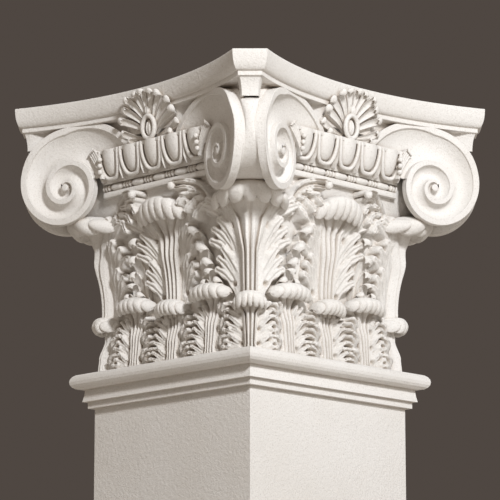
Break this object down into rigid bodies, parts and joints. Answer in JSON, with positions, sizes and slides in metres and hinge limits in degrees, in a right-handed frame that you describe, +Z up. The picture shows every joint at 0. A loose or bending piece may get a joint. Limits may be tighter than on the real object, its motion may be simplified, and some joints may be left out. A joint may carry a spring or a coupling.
{
  "type": "scamozzi capital",
  "caption": "Square pier capital in cast stone: two rows of curling acanthus leaves, diagonal corner volutes, an egg-and-dart band and a hollow-sided abacus with palmettes.",
  "frame": {"origin": "centre of the pier stub's underside", "axes": "+Z up through the pier and the capital; the four faces look along +X, -X, +Y and -Y, and the volutes lie on the diagonals"},
  "size_m": [0.4942, 0.4942, 0.58],
  "materials": {
    "pier_stone": "matte off-white cast stone with a fine grain",
    "necking_stone": "matte off-white cast stone with a fine grain",
    "carved_stone": "matte off-white cast stone, smoother, with darker recesses"
  },
  "bodies": {
    "root": {"pier_stub": "pier_stone", "necking": "necking_stone", "capital": "carved_stone"}
  },
  "joints": []
}
